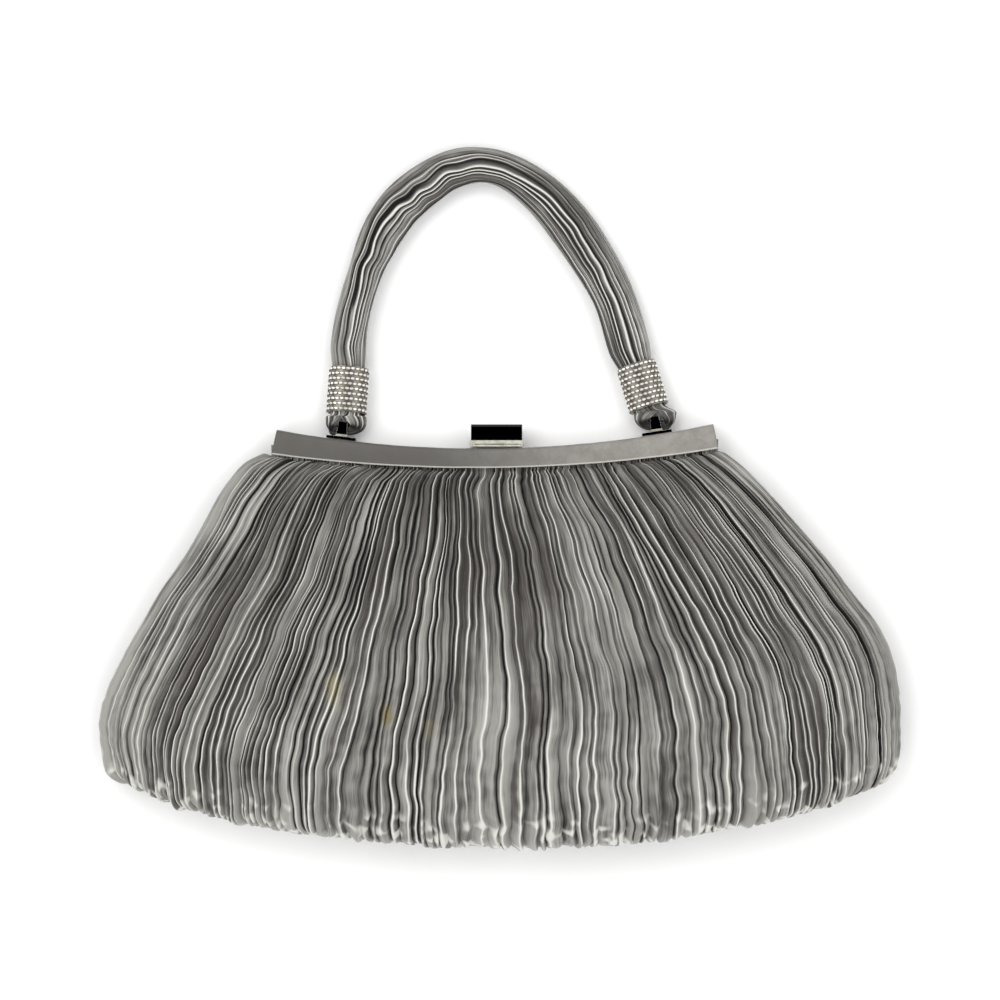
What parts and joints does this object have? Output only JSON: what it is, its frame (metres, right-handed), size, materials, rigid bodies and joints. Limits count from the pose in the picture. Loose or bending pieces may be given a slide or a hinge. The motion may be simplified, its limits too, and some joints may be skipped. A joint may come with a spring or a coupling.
{
  "type": "accordion pleated evening bag",
  "caption": "Hollow accordion-pleated satin evening bag lying on its back, hung from a covered metal frame with a flip clasp, a pleated arched handle, chrome brackets and stone-banded cuffs.",
  "frame": {"origin": "on the table, under the middle of the bag's outline as it lies on its back", "axes": "+X to the right of the front, +Y from the foot to the handle, +Z out of the front, up from the table"},
  "size_m": [0.2986, 0.263, 0.0429],
  "materials": {
    "pleated_satin": "pleated satin, soft sheen",
    "smooth_satin": "smooth satin stretched over the bars",
    "polished_metal": "mirror polish",
    "stone_banding": "clear faceted stones in silver cups"
  },
  "bodies": {
    "bag": {"bag_body": "pleated_satin", "frame_bar_back": "smooth_satin", "frame_bar_front": "smooth_satin", "clasp_base": "polished_metal", "clasp_catch": "polished_metal", "handle_strap": "pleated_satin", "hinge_pin_left": "polished_metal", "hinge_pin_right": "polished_metal", "handle_bracket_left": "polished_metal", "handle_bracket_right": "polished_metal", "handle_loop_left": "pleated_satin", "handle_loop_right": "pleated_satin", "cuff_left": "stone_banding", "cuff_right": "stone_banding"},
    "lever": {"clasp_lever": "polished_metal"}
  },
  "joints": [
    {"name": "clasp_turn", "type": "hinge", "parent": "bag", "child": "lever", "pos_m": [0, 0.02276, 0.0051], "axis": [-1, 0, 0], "range_deg": [0, 30], "stiffness_Nm_per_rad": 0.03, "springref_deg": -22.92}
  ]
}
